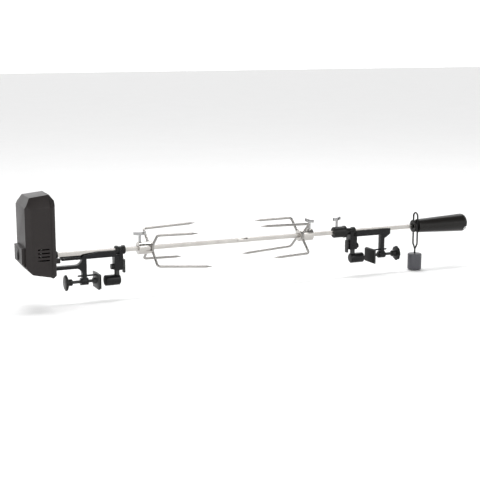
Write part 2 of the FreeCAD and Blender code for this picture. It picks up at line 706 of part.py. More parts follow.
def bent_path(points, bend):
    """Wire path through points, rounded at every inner point."""
    edges, start = [], points[0]
    for before, corner, beyond in zip(points[:-2], points[1:-1], points[2:]):
        going_in = (corner - before).normalize()
        going_out = (beyond - corner).normalize()
        half_turn = going_in.getAngle(going_out) / 2
        trim = bend * math.tan(half_turn)
        arc_start, arc_end = corner - going_in * trim, corner + going_out * trim
        inward = (going_out - going_in).normalize()
        middle = corner + inward * (bend / math.cos(half_turn) - bend)
        edges.append(Part.LineSegment(start, arc_start).toShape())
        edges.append(Part.Arc(arc_start, middle, arc_end).toShape())
        start = arc_end
    edges.append(Part.LineSegment(start, points[-1]).toShape())
    return Part.Wire(edges)


def fork_wire(direction, y_side, root_x, collar_r):
    """One bent wire: a tine, an arm, a run welded up the collar's side, an arm, a tine."""
    r, tip_long = float(s["prong_radius"]), float(s["prong_tip"])
    y_weld = y_side * (collar_r + r - float(s["weld_bite"]))
    y_out = y_side * float(s["prong_half_y"])
    splay = math.tan(math.radians(float(s["prong_splay"])))
    droops = y_side * direction < 0
    droop = math.tan(math.radians(float(s["prong_droop"]))) if droops else 0.0
    ends, corners = [], []
    for z_side in (1, -1):
        is_long = y_side * z_side * direction > 0
        length = float(s["prong_long"] if is_long else s["prong_short"]) - tip_long
        corner = Vector(root_x, y_out, float(axis_z) + z_side * float(s["prong_half_z"]))
        out = Vector(0, y_out, z_side * float(s["prong_half_z"])).normalize()
        run = (Vector(direction, 0, -droop) + out * splay).normalize()
        corners.append(corner)
        ends.append((corner + run * length, run))
    weld = [Vector(root_x, y_weld, float(axis_z) + z * float(s["weld_half"])) for z in (1, -1)]
    points = [ends[0][0], corners[0], weld[0], weld[1], corners[1], ends[1][0]]
    path = bent_path(points, float(s["prong_bend"]))
    ring = Part.Wire([Part.Circle(points[0], points[1] - points[0], r).toShape()])
    tips = [Part.makeCone(r, r * TIP_SHARE, tip_long, at, run) for at, run in ends]
    return path.makePipeShell([ring], True, True).multiFuse(tips).removeSplitter()


THUMB_TURNS = {"left": 0.0, "right": -78.0, "bush": 28.0}


def fork(side, x_outer, direction):
    """Collar with a square bore, two bent wires welded to it and a thumb screw."""
    n = side + "_fork_"
    x_inner = x_outer + s["collar_long"] * direction
    low = x_outer if direction > 0 else x_inner
    collar_r = bore_reach + s["collar_wall"]
    collar = rod(n + "collar_round", collar_r, (low, 0, axis_z), s["collar_long"], "x")
    screw_x = x_outer + s["collar_screw"] * direction
    thread = rod(n + "thread", s["thumb_stem"] + s["run_gap"], (screw_x, 0, axis_z),
                 collar_r + LAP, "z")
    bore = square_bore(n + "bore", low - LAP, low + s["collar_long"] + LAP)
    node(n + "collar", cut(n + "collar_cut", collar, thread, bore))
    root_x = float(x_inner) - direction * (float(s["prong_radius"]) + LAP)
    wires = [fork_wire(direction, y_side, root_x, float(collar_r)) for y_side in (1, -1)]
    node(n + "prongs", own_shape(n + "wires", Part.makeCompound(wires)))
    thumb_screw(side + "_fork_screw", screw_x, collar_r, THUMB_TURNS[side])


fork("left", s["fork_left"], 1)
fork("right", right_face - s["fork_back"], -1)
thumb_screw("bush_thumb_screw", bush_screw_x, bush_radius, THUMB_TURNS["bush"])


# ---------------------------------------------------------------- balance weight and handle

ferrule_start = right_face + s["ferrule_reach"]
ferrule_end = ferrule_start + s["ferrule_thick"]
ferrule_bore = spit_reach + s["run_gap"]
ferrule_radius = ferrule_bore + s["ferrule_wall"]
RIM_STEP = 1.0
ferrule = turned("ferrule_blank",
                 ((ferrule_start, 0), (ferrule_start, ferrule_radius - EDGE),
                  (ferrule_start + RIM_STEP, ferrule_radius),
                  (ferrule_end - RIM_STEP, ferrule_radius),
                  (ferrule_end, ferrule_radius - EDGE), (ferrule_end, 0)), (0, 0, axis_z))
node("handle_ferrule", cut("ferrule_cut", ferrule,
                           rod("ferrule_bore", ferrule_bore,
                               (ferrule_start - LAP, 0, axis_z), s["ferrule_thick"] + LAP * 2,
                               "x")))

front_x = ferrule_start + s["grip_back_off"]
back_x = front_x + s["grip_length"]
back_r = s["grip_back"]
DOME_STEPS = 9
dome = []
for step in range(DOME_STEPS):
    angle = math.pi / 2 * step / DOME_STEPS
    dome.append((back_x - s["dome_long"] * (1 - math.sin(angle)), back_r * math.cos(angle)))
grip = turned("grip_blank",
              ((front_x, 0), (front_x, s["grip_front"] - RIM_STEP),
               (front_x + RIM_STEP, s["grip_front"])) + tuple(dome) + ((back_x, 0),),
              (0, 0, axis_z))
hang_turn = Rotation(Vector(1, 0, 0), float(s["hang_tilt"]) - 90)
lean = math.radians(float(s["hang_tilt"]))
hang_start = (back_x - s["hang_inset"], back_r * (-2 * math.cos(lean)),
              axis_z - back_r * (2 * math.sin(lean)))


def hang_rod(name, radius):
    """Round bar across the grip's end, along the hang hole."""
    obj = rod(name, radius, hang_start, back_r * 4, "z")
    return place(obj, hang_start, hang_turn)


eyelet_radius = s["hang_radius"] + s["eyelet_wall"]
tang_fit = s["run_gap"]
tang_hole = square_bar("tang_hole", spit_half + tang_fit, front_x - LAP, tang_end + LAP)
node("handle_grip", cut("grip_cut", grip, hang_rod("eyelet_seat", eyelet_radius), tang_hole))
eyelet_blank = turned("eyelet_limit", ((front_x, 0), (front_x, s["grip_front"]))
                      + tuple(dome) + ((back_x, 0),), (0, 0, axis_z))
node("hang_eyelet", cut("eyelet_cut", common("eyelet_in", hang_rod("eyelet_bar", eyelet_radius),
                                             eyelet_blank),
                        hang_rod("hang_hole", s["hang_radius"])))


def bent_wire(points, radius):
    """Round wire through points, with a ball at each corner."""
    pieces = []
    for start, end in zip(points[:-1], points[1:]):
        pieces.append(Part.makeCylinder(radius, (end - start).Length, start, end - start))
    for point in points[1:-1]:
        pieces.append(Part.makeSphere(radius, point))
    return pieces


wire_x = ferrule_start + s["wire_back"]


def balance_loop():
    """Long wire loop around the spit that narrows to a stem."""
    x, r, half = float(wire_x), float(s["wire_radius"]), float(spit_reach + s["wire_clear"])
    z0 = float(axis_z)
    top = z0 + float(s["wire_arc_height"])
    knee = z0 - float(s["wire_knee_drop"])
    merge = z0 - float(s["wire_merge_drop"])
    foot = z0 - float(s["weight_drop"])
    pieces = []
    for sign in (-1, 1):
        pieces += bent_wire((Vector(x, sign * half, top), Vector(x, sign * half, knee),
                             Vector(x, 0, merge), Vector(x, 0, foot)), r)
    arch = Part.makeTorus(half, r, Vector(x, 0, top), Vector(1, 0, 0))
    above = Part.makeBox(4 * r, 4 * half, 4 * half, Vector(x - 2 * r, -2 * half, top))
    pieces.append(arch.common(above))
    return pieces[0].multiFuse(pieces[1:]).removeSplitter()


node("balance_wire", own_shape("wire_loop", balance_loop()))
weight_low = axis_z - s["weight_drop"] - s["weight_tall"]
WEIGHT_EDGE = 1.2
weight = doc.addObject("Part::Cylinder", "weight_blank")
bind(weight, "Radius", s["weight_radius"])
bind(weight, "Height", s["weight_tall"])
place(weight, (wire_x, 0, weight_low))
doc.recompute()
weight_round = doc.addObject("Part::Chamfer", "weight_edges")
weight_round.Base = weight
rims = [i for i, e in enumerate(weight.Shape.Edges, 1) if isinstance(e.Curve, Part.Circle)]
weight_round.Edges = [(i, WEIGHT_EDGE, WEIGHT_EDGE) for i in rims]
node("balance_weight", weight_round)


# ---------------------------------------------------------------- motor case

outer = drive_end - s["case_reach"]
split = drive_end + s["split_over"]
low, top, deep = axis_z - s["case_drop"], axis_z + s["case_rise"], s["case_half"]
SLOPE_SHARE = 0.5


def case_block(name, inset, x_end):
    """The case's faceted form, or the same form drawn in by a wall (out if negative)."""
    lean = inset * SLOPE_SHARE
    side = deep - inset
    side_view = ((x_end, low + s["heel_z"] + inset), (x_end - s["heel_x"], low + inset),
                 (outer + s["chin_x"] + lean, low + s["chin_low"] + inset),
                 (outer + inset, low + s["chin_high"] + lean),
                 (outer + inset, top - s["brow_drop"] - lean),
                 (outer + s["brow_x"] + lean, top - s["brow_rise"] - inset),
                 (x_end - s["shoulder_x"], top - inset), (x_end, top - s["shoulder_z"] - inset))
    skirt, crown = deep - s["skirt_y"] - lean, deep - s["crown_side"] - lean
    below, above = low + inset, top - inset
    end_view = ((-skirt, below), (skirt, below), (side, low + s["skirt_z"] + lean),
                (side, top - s["crown_drop"] - lean), (crown, above), (-crown, above),
                (-side, top - s["crown_drop"] - lean), (-side, low + s["skirt_z"] + lean))
    face, back = deep - s["facet_y"] - lean, deep - s["back_y"] - inset
    facet, bevel = outer + s["facet_x"] + lean, inner - s["back_x"]
    plan_view = ((outer + inset, -face), (facet, -side), (bevel, -side), (inner, -back),
                 (inner, back), (bevel, side), (facet, side), (outer + inset, face))
    return common(name,
                  slab(name + "_side", "XZ", side_view, 0, deep * 3),
                  slab(name + "_end", "YZ", end_view, (outer + inner) / 2, (inner - outer) * 2),
                  slab(name + "_plan", "XY", plan_view, (low + top) / 2, (top - low) * 2))


wall = s["case_wall"]
hollow = case_block("case_inside", wall, inner - wall)
cover_shell = cut("cover_shell", case_block("cover_outside", as_size(0), inner), hollow)
base_shell = cut("base_shell", case_block("base_outside", 0 - s["base_proud"], inner), hollow)
FAR = 400
SCREW_SPOTS = ((-29.0, -23.5), (29.0, -23.5), (-18.0, 103.0), (18.0, 103.0))
SCREW_BOSS, SCREW_CORE, SCREW_HEAD, HEAD_TALL = 3.4, 1.5, 2.9, 1.8
SCREW_DEEP, BOSS_START, BOSS_INSET = 10.0, 4.0, 0.5

door_x = drive_end - s["cell_past"]
door_low = axis_z + s["door_rise"]
door_top = door_low + s["door_tall"]
hinge_y = deep - s["door_thick"] / 2
HINGE_UP, HINGE_PIN, PIN_SINK, PIN_END = 1.0, 0.8, 2.0, 1.4
hinge_z = door_low + HINGE_UP
door_edge = s["door_half"] + s["free_gap"]

bosses = [common("cover_boss_in_%d" % i,
                 rod("cover_boss_%d" % i, SCREW_BOSS, (outer + BOSS_START, y, axis_z + z),
                     split - outer - BOSS_START, "x"),
                 case_block("boss_limit_%d" % i, as_size(BOSS_INSET), inner))
          for i, (y, z) in enumerate(SCREW_SPOTS)]
panel_low, panel_high = axis_z - s["panel_drop"], axis_z + s["panel_rise"]
panel_face = outer - s["panel_proud"]
PANEL_TAPER, PANEL_ROOT = 2.0, 6.0
panel = slab("switch_panel", "XZ",
             ((outer + LAP, panel_low - PANEL_ROOT), (panel_face, panel_low + PANEL_TAPER),
              (panel_face, panel_high - LAP), (outer + LAP, panel_high)),
             0, s["panel_half"] * 2)
cover_half = common("cover_half", cover_shell,
                    box("cover_side", (outer - FAR, -FAR, -FAR), (split, FAR, FAR)))
rocker_z = axis_z + s["rocker_rise"]
WELL_GAP = 1.2
ROCKER_PROUD, PIVOT_RADIUS, PIVOT_IN = 4.0, 1.6, 1.0
rocker_x, rocker_y = panel_face + ROCKER_PROUD / 2, s["rocker_y"]
well_half_y, well_half_z = s["rocker_half_y"] + gap, s["rocker_half_z"] + WELL_GAP
cover_tools = [
    box("rocker_well", (panel_face - LAP, s["rocker_y"] - well_half_y, rocker_z - well_half_z),
        (outer + wall + LAP, s["rocker_y"] + well_half_y, rocker_z + well_half_z)),
    box("door_opening", (door_x - door_edge, deep - wall - LAP, door_low - LAP),
        (door_x + door_edge, deep + LAP, door_top + gap)),
    rod("trunnion_hole", PIVOT_RADIUS + s["run_gap"],
        (rocker_x, rocker_y - well_half_y - PIVOT_IN - gap, rocker_z),
        well_half_y * 2 + PIVOT_IN * 2 + gap * 2, "y"),
    rod("door_pin_hole", HINGE_PIN + s["run_gap"], (door_x - door_edge - PIN_SINK, hinge_y,
                                                    hinge_z),
        door_edge * 2 + PIN_SINK * 2, "x"),
]
sleeve_half = s["arm_half"] + gap
sleeve_low, sleeve_top = arm_low - gap, arm_low + s["arm_thick"] + gap
SLEEVE_WALL = 2.0
sleeve_end = drive_end - SLEEVE_WALL
cover_tools.append(box("sleeve_notch",
                       (sleeve_end - SLEEVE_WALL - gap, -(sleeve_half + SLEEVE_WALL + gap),
                        low - LAP),
                       (split + LAP, sleeve_half + SLEEVE_WALL + gap,
                        sleeve_top + SLEEVE_WALL + gap)))
VENTS = 4
for i in range(VENTS):
    slot_z = axis_z + s["vent_low"] + s["vent_step"] * i
    cover_tools.append(box("vent_%d" % i,
                           (drive_end - s["vent_start"], -(deep + LAP), slot_z - s["vent_half"]),
                           (drive_end + s["vent_end"], -(deep - wall - LAP),
                            slot_z + s["vent_half"])))
for i, (y, z) in enumerate(SCREW_SPOTS):
    cover_tools.append(rod("cover_core_%d" % i, SCREW_CORE,
                           (split - SCREW_DEEP - SLEEVE_WALL, y, axis_z + z),
                           SCREW_DEEP + SLEEVE_WALL + LAP, "x"))
node("motor_cover", cut("cover_cut", fuse("cover_solid", cover_half, panel, *bosses),
                        *cover_tools))

LAYER_GAP, PLATE_GAP = 1.2, 1.5
gear_layer = [inner - wall - LAYER_GAP - s["gear_face"] - s["gear_step"] * i for i in range(3)]
plate_x = gear_layer[2] - PLATE_GAP
POSTS, POST_RADIUS = ((-12.0, 23.0), (30.5, 24.0), (31.0, -17.0)), 2.4
base_half = common("base_half", base_shell,
                   box("base_side", (split, -FAR, -FAR), (inner + FAR, FAR, FAR)))
sleeve = box("arm_sleeve", (sleeve_end - SLEEVE_WALL, -(sleeve_half + SLEEVE_WALL),
                            sleeve_low - SLEEVE_WALL),
             (inner - LAP, sleeve_half + SLEEVE_WALL, sleeve_top + SLEEVE_WALL))
hub_radius = bore_reach + s["hub_wall"]
catch_top = axis_z - hub_radius - s["lug_gap"]
CATCH_HALF = 6.0
base_adds = [
    common("arm_sleeve_in", sleeve, case_block("sleeve_limit", as_size(0), inner)),
    box("catch", (inner - LAP, -CATCH_HALF, catch_top - s["lug_tall"]),
        (inner + s["lug_reach"], CATCH_HALF, catch_top)),
]
for i, (y, z) in enumerate(POSTS):
    base_adds.append(rod("plate_post_%d" % i, POST_RADIUS, (plate_x, y, axis_z + z),
                         inner - LAP - plate_x, "x"))
base_tools = [
    box("arm_slot", (sleeve_end, -sleeve_half, sleeve_low),
        (inner + LAP, sleeve_half, sleeve_top)),
    rod("hub_hole", hub_radius + s["run_gap"], (inner - wall - LAP, 0, axis_z),
        wall + LAP * 2, "x"),
]
SINK_RADIUS, SINK_DEEP, SCREW_FREE = 3.1, 2.0, 0.2
for i, (y, z) in enumerate(SCREW_SPOTS):
    base_tools.append(rod("base_core_%d" % i, SCREW_CORE + SCREW_FREE, (split - LAP, y, axis_z + z),
                          inner - split + LAP * 2, "x"))
    base_tools.append(rod("base_sink_%d" % i, SINK_RADIUS, (inner - SINK_DEEP, y, axis_z + z),
                          SINK_DEEP + LAP, "x"))
gear_spots = {"output": (0.0, float(axis_z))}
module = float(s["gear_module"])
LARGE_TEETH, SMALL_TEETH, PINION_TEETH = 32, 12, 10
TOOTH_ROOT, TOOTH_TIP, TOOTH_SHARE, TIP_LEAST, PRESSURE_DEG = 1.2, 0.9, 0.40, 0.02, 20.0
WHEEL_FREE = 0.4
wheel_tip = module * (LARGE_TEETH / 2 + TOOTH_TIP)
OUT_TEETH = math.ceil(2 * (float(hub_radius) + wheel_tip + WHEEL_FREE) / module) - SMALL_TEETH


def beside(spot, teeth_a, teeth_b, angle_deg):
    """Centre of a gear that meshes with another, in the given direction in the YZ plane."""
    reach = module * (teeth_a + teeth_b) / 2
    angle = math.radians(angle_deg)
    return spot[0] + reach * math.cos(angle), spot[1] + reach * math.sin(angle)


MESH_ANGLES = {"second": 39.7, "first": -77.0, "pinion": -162.5}
gear_spots["second"] = beside(gear_spots["output"], OUT_TEETH, SMALL_TEETH, MESH_ANGLES["second"])
gear_spots["first"] = beside(gear_spots["second"], LARGE_TEETH, SMALL_TEETH, MESH_ANGLES["first"])
gear_spots["pinion"] = beside(gear_spots["first"], LARGE_TEETH, PINION_TEETH, MESH_ANGLES["pinion"])
SEAT_RADIUS = 3.2
for name in ("second", "first"):
    y, z = gear_spots[name]
    base_adds.append(rod("axle_seat_" + name, SEAT_RADIUS, (inner - wall - LAP, y, z), wall, "x"))
    base_tools.append(rod("axle_hole_" + name, s["axle_radius"], (inner - wall - PLATE_GAP, y, z),
                          wall, "x"))
node("motor_base", cut("base_cut", fuse("base_solid", base_half, *base_adds), *base_tools))

heads = []
for i, (y, z) in enumerate(SCREW_SPOTS):
    stem = rod("case_screw_stem_%d" % i, SCREW_CORE, (split - SCREW_DEEP, y, axis_z + z),
               inner - SINK_DEEP - split + SCREW_DEEP, "x")
    head = rod("case_screw_head_%d" % i, SCREW_HEAD, (inner - SINK_DEEP, y, axis_z + z),
               HEAD_TALL, "x")
    heads.append(fuse("case_screw_%d" % i, stem, head))
node("case_screws", group("case_screw_set", *heads))


# ---------------------------------------------------------------- gear train

def gear(teeth, x_start, width, spot, tooth_angle):
    """Spur gear about an axis parallel to X, one tooth centred on the given angle."""
    pitch_r = module * teeth / 2
    root, tip = pitch_r - TOOTH_ROOT * module, pitch_r + TOOTH_TIP * module
    step = 2 * math.pi / teeth
    at_pitch = TOOTH_SHARE * step / 2
    flank = math.tan(math.radians(PRESSURE_DEG))
    at_root = at_pitch + flank * TOOTH_ROOT * module / pitch_r
    at_tip = max(at_pitch - flank * TOOTH_TIP * module / pitch_r, TIP_LEAST * step)
    corners = []
    for i in range(teeth):
        middle = tooth_angle + i * step
        for radius, turn in ((root, -at_root), (tip, -at_tip), (tip, at_tip), (root, at_root)):
            corners.append(Vector(x_start, spot[0] + radius * math.cos(middle + turn),
                                  spot[1] + radius * math.sin(middle + turn)))
    face = Part.Face(Part.makePolygon(corners + [corners[0]]))
    return face.extrude(Vector(width, 0, 0))


def mesh_angles(name, driven_teeth):
    """Tooth angles of a meshing pair: a tooth of one stands in a gap of the other."""
    toward = math.radians(MESH_ANGLES[name])
    return toward, toward + math.pi + math.pi / driven_teeth


def bore_out(shape, x_start, length, spot, radius):
    """Bore a gear for its axle."""
    return shape.cut(Part.makeCylinder(radius, length, Vector(x_start, spot[0], spot[1]),
                                       Vector(1, 0, 0)))


face_w = float(s["gear_face"])
layers = [float(x) for x in gear_layer]
out_angle, second_small_angle = mesh_angles("second", SMALL_TEETH)
second_large_angle, first_small_angle = mesh_angles("first", SMALL_TEETH)
first_large_angle, pinion_angle = mesh_angles("pinion", PINION_TEETH)

hub_back, hub_front = float(drive_end - s["hub_past"]), float(drive_end + s["hub_over"])
hub = Part.makeCylinder(float(hub_radius), hub_front - hub_back,
                        Vector(hub_back, 0, float(axis_z)), Vector(1, 0, 0))
socket_half = float(bore_half)
socket_start = float(drive_end - gap)
socket = Part.makeBox(hub_front - socket_start + LAP, 2 * socket_half, 2 * socket_half,
                      Vector(socket_start, -socket_half, float(axis_z) - socket_half))
wheel = gear(OUT_TEETH, layers[0], face_w, gear_spots["output"], out_angle)
node("output_gear", own_shape("output_wheel", wheel.fuse(hub).cut(socket).removeSplitter()))

axle_hole = float(s["axle_radius"]) + float(s["run_gap"])
axles = []
for name, layer, large_angle, small_angle in (
        ("second", 1, second_large_angle, second_small_angle),
        ("first", 2, first_large_angle, first_small_angle)):
    spot = gear_spots[name]
    large = gear(LARGE_TEETH, layers[layer], face_w, spot, large_angle)
    small = gear(SMALL_TEETH, layers[layer] + face_w, layers[layer - 1] - layers[layer], spot,
                 small_angle)
    whole = bore_out(large.fuse(small), layers[layer] - LAP, 3 * face_w, spot, axle_hole)
    node(name + "_gear", own_shape(name + "_wheel", whole))
    axles.append(rod("axle_" + name, s["axle_radius"], (plate_x, spot[0], spot[1]),
                     inner - PLATE_GAP - plate_x, "x"))
node("gear_axles", group("axle_set", *axles))

pinion_spot = gear_spots["pinion"]
SHAFT_RADIUS, SHAFT_IN, PLATE_HOLE = 1.0, 6.0, 2.0
plate_back = plate_x - s["plate_gear"]
pinion_start = layers[2]
pinion_body = gear(PINION_TEETH, pinion_start, face_w, pinion_spot, pinion_angle)
shaft = Part.makeCylinder(SHAFT_RADIUS, pinion_start + face_w - float(plate_back) + SHAFT_IN,
                          Vector(float(plate_back) - SHAFT_IN, *pinion_spot), Vector(1, 0, 0))
node("motor_pinion", own_shape("pinion", pinion_body.fuse(shaft).removeSplitter()))

PLATE_Y, PLATE_Z = (-16.0, 32.7), (-19.5, 27.0)
plate_flat = box("gear_plate_flat", (plate_back, PLATE_Y[0], axis_z + PLATE_Z[0]),
                 (plate_x, PLATE_Y[1], axis_z + PLATE_Z[1]))
plate_hole = rod("gear_plate_motor", PLATE_HOLE, (plate_back - LAP, *pinion_spot),
                 s["plate_gear"] + LAP * 2, "x")
node("gearbox_plate", cut("gear_plate_cut", plate_flat, plate_hole))

motor_end = plate_back - s["motor_length"]
can = rod("motor_can", s["motor_radius"], (motor_end, pinion_spot[0], pinion_spot[1]),
          s["motor_length"], "x")
can_bore = rod("motor_can_bore", SHAFT_RADIUS + s["run_gap"],
               (plate_back - SHAFT_IN - LAP, *pinion_spot), SHAFT_IN + LAP * 2, "x")
node("drive_motor", cut("motor_cut", can, can_bore))


# ---------------------------------------------------------------- battery and switch

CELL_TIP_RADIUS, CELL_TIP, STRIP_HALF, STRIP_THICK, STRIP_OFF, BUMP = 4.5, 2.0, 6.0, 0.8, 0.8, 4.0
STRIP_SHARE = 0.55
cell_start = -s["cell_length"] / 2
cell_body = s["cell_length"] - CELL_TIP
cell_heights = [axis_z + s["cell_rise"] + s["cell_pitch"] * i for i in range(2)]
cells = []
for i, z in enumerate(cell_heights):
    can = rod("cell_can_%d" % i, s["cell_radius"], (door_x, cell_start, z), cell_body, "y")
    tip = rod("cell_tip_%d" % i, CELL_TIP_RADIUS, (door_x, cell_start + cell_body, z), CELL_TIP,
              "y")
    cells.append(fuse("cell_%d" % i, can, tip))
node("battery_cells", group("cell_pair", *cells))

strip_reach = s["cell_radius"] * STRIP_SHARE
strip_back = cell_start - STRIP_OFF - STRIP_THICK
strip = box("contact_bar", (door_x - STRIP_HALF, strip_back, cell_heights[0] - strip_reach),
            (door_x + STRIP_HALF, strip_back + STRIP_THICK, cell_heights[1] + strip_reach))
bumps = [rod("contact_bump_%d" % i, BUMP, (door_x, strip_back + STRIP_THICK / 2, z),
             STRIP_OFF + STRIP_THICK / 2, "y") for i, z in enumerate(cell_heights)]
node("contact_strip", fuse("contact_plate", strip, *bumps))

FINGER_HALF, FINGER_TALL, FINGER_DOWN, FINGER_DEEP = 8.0, 3.0, 5.0, 0.8
door_half, thick = s["door_half"], s["door_thick"]
door_flat = box("door_flat", (door_x - door_half, deep - thick, door_low),
                (door_x + door_half, deep, door_top))
door_pins = rod("door_pins", HINGE_PIN, (door_x - door_edge - PIN_END, hinge_y, hinge_z),
                door_edge * 2 + PIN_END * 2, "x")
finger = box("door_finger", (door_x - FINGER_HALF, deep - FINGER_DEEP,
                             door_top - FINGER_DOWN - FINGER_TALL),
             (door_x + FINGER_HALF, deep + LAP, door_top - FINGER_DOWN))
node("battery_door", cut("door_cut", fuse("door_solid", door_flat, door_pins), finger))

ROCKER_DEEP, ROCKER_TAPER, ROCKER_DISH = 3.5, 1.2, 0.9
BODY_MARGIN, BODY_GAP, BODY_DEEP = 2.2, 1.6, 5.0
rocker_tall = s["rocker_half_z"]
rocker = slab("rocker_block", "XZ",
              ((-ROCKER_PROUD, 0), (-ROCKER_PROUD + ROCKER_DISH, rocker_tall),
               (ROCKER_DEEP, rocker_tall - ROCKER_TAPER),
               (ROCKER_DEEP, ROCKER_TAPER - rocker_tall),
               (-ROCKER_PROUD + ROCKER_DISH, -rocker_tall)),
              0, s["rocker_half_y"] * 2)
place(rocker, (rocker_x, rocker_y, rocker_z), Rotation(Vector(0, 1, 0), float(s["rocker_tilt"])))
trunnion = rod("rocker_trunnion", PIVOT_RADIUS,
               (rocker_x, rocker_y - s["rocker_half_y"] - gap - PIVOT_IN, rocker_z),
               s["rocker_half_y"] * 2 + gap * 2 + PIVOT_IN * 2, "y")
node("switch_rocker", fuse("rocker_whole", rocker, trunnion))
body_x = outer + wall + BODY_GAP
node("switch_body",
     box("switch_block", (body_x, rocker_y - s["rocker_half_y"] - BODY_MARGIN,
                          rocker_z - rocker_tall - BODY_MARGIN),
         (body_x + BODY_DEEP, rocker_y + s["rocker_half_y"] + BODY_MARGIN,
          rocker_z + rocker_tall + BODY_MARGIN)))


# ---------------------------------------------------------------- check and write

doc.recompute()
faults = [obj.Name for obj in doc.Objects
          if "Invalid" in obj.State or "Error" in obj.State]
if faults:
    raise RuntimeError("failed objects: " + ", ".join(faults))
for obj in nodes:
    if obj.Shape.isNull() or not obj.Shape.isValid() or not obj.Shape.Solids:
        raise RuntimeError("bad shape: " + obj.Label)
os.makedirs("parts", exist_ok=True)
for obj in nodes:
    obj.Shape.exportStep("parts/%s.step" % obj.Label)
print("wrote %d nodes" % len(nodes))
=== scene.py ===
"""Looks for a clamp-on barbecue rotisserie kit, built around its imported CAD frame."""

from __future__ import annotations

import json
import logging
import math
from dataclasses import dataclass
from enum import Enum

import bmesh
import bpy
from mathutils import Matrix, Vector


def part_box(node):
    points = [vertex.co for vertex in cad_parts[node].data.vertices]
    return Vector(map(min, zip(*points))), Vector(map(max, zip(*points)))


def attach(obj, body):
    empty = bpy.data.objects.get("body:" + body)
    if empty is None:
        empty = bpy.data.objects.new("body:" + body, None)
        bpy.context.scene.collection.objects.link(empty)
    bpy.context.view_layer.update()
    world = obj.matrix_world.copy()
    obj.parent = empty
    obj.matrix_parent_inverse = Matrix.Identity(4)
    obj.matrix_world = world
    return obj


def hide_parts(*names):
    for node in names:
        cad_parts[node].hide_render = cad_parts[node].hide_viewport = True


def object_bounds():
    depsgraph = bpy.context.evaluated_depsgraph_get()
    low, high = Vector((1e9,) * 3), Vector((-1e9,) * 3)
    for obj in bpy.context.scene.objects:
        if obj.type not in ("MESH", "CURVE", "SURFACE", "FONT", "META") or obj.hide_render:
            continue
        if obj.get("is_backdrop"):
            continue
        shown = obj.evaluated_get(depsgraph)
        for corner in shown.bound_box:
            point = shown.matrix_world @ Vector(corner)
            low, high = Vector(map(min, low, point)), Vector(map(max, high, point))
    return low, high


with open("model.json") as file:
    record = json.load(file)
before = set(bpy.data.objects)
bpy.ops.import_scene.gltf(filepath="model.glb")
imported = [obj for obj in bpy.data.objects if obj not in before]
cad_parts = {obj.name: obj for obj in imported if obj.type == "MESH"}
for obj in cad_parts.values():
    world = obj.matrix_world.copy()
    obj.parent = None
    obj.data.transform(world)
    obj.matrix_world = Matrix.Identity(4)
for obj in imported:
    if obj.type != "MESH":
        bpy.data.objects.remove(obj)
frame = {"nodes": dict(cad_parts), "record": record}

LOG = logging.getLogger("rotisserie")
MM = 0.001
Triple = tuple[float, float, float]

FINE_DETAIL = 6.0           # noise detail of the grain
SLOW_DETAIL = 3.0           # noise detail of the drift
FINE_SHARE = 0.45           # part of the blend that comes from the grain
SLOW_SHARE = 0.55           # part of the blend that comes from the drift
TONE_BAND = (0.35, 0.65)    # blend values between which the colour changes
ROUGH_BAND = (0.3, 0.7)     # blend values between which the roughness changes

MERGE_DISTANCE = 2e-6       # corners closer than this are one corner, in metres
FLAT_DEG = 0.6              # faces that turn less than this are one flat face
SHARP_DEG = 32.0            # edges that turn more than this are shaded sharp


# ------------------------------------------------------------------ finishes


class Grain(Enum):
    """How a surface's fine texture lies."""

    SPARK = "fine even pits of a spark-eroded mould"
    CAST = "soft pebbled skin of an enamelled casting"
    DRAWN = "long hairlines along the spit"
    TURNED = "fine rings around an upright axis"
    PLAIN = "smooth with faint waviness"


EVEN: Triple = (1.0, 1.0, 1.0)
STRETCH: dict[Grain, Triple] = {
    Grain.SPARK: EVEN,
    Grain.CAST: EVEN,
    Grain.DRAWN: (0.03, 1.0, 1.0),
    Grain.TURNED: (0.04, 0.04, 1.0),
    Grain.PLAIN: EVEN,
}


